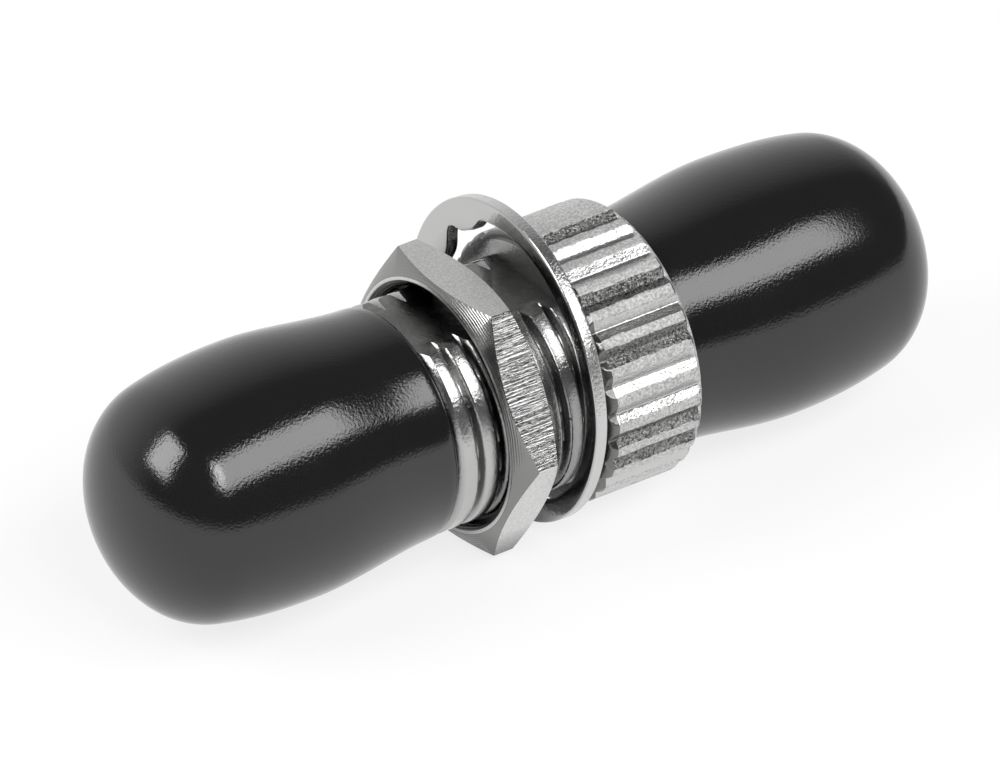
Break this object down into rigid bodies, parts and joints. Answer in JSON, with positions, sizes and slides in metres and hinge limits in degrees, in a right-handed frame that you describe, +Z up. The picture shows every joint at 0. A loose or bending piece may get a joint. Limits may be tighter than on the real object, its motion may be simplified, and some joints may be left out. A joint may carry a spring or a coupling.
{
  "type": "st fibre adapter",
  "caption": "Bulkhead coupler for two bayonet fibre connectors: threaded barrel with a flat, knurled flange, hex nut, washer and push-on dust caps.",
  "frame": {"origin": "on the common axis, in the flange face that seats on the panel", "axes": "X along the axis with -X towards the threaded front end, +Z up through the barrel's flat and the keyways"},
  "size_m": [0.0376, 0.0134, 0.0133],
  "materials": {
    "plated_body": "nickel plate on a cast surface",
    "holder": "turned",
    "sleeve": "ground",
    "nut": "nickel plate on milled flats",
    "washer": "polished nickel plate",
    "cap": "glossy dip-moulded vinyl"
  },
  "bodies": {
    "adapter": {"main_body": "plated_body", "rear_receptacle": "plated_body", "sleeve_holder_front": "holder", "sleeve_holder_rear": "holder", "alignment_sleeve": "sleeve"},
    "nut": {"hex_nut": "nut"},
    "loose_washer": {"washer": "washer"},
    "front_cap": {"front_dust_cap": "cap"},
    "rear_cap": {"rear_dust_cap": "cap"}
  },
  "joints": [
    {"name": "nut_travel", "type": "slide", "parent": "adapter", "child": "nut", "axis": [1, 0, 0], "range_m": [-0.002, 0.0005]},
    {"name": "washer_slide", "type": "slide", "parent": "adapter", "child": "loose_washer", "axis": [1, 0, 0], "range_m": [-0.0003, 0.0004]},
    {"name": "front_cap_pull", "type": "slide", "parent": "adapter", "child": "front_cap", "axis": [-1, 0, 0], "range_m": [0, 0.02], "deforming": ["front_dust_cap"]},
    {"name": "rear_cap_pull", "type": "slide", "parent": "adapter", "child": "rear_cap", "axis": [1, 0, 0], "range_m": [0, 0.02], "deforming": ["rear_dust_cap"]}
  ]
}
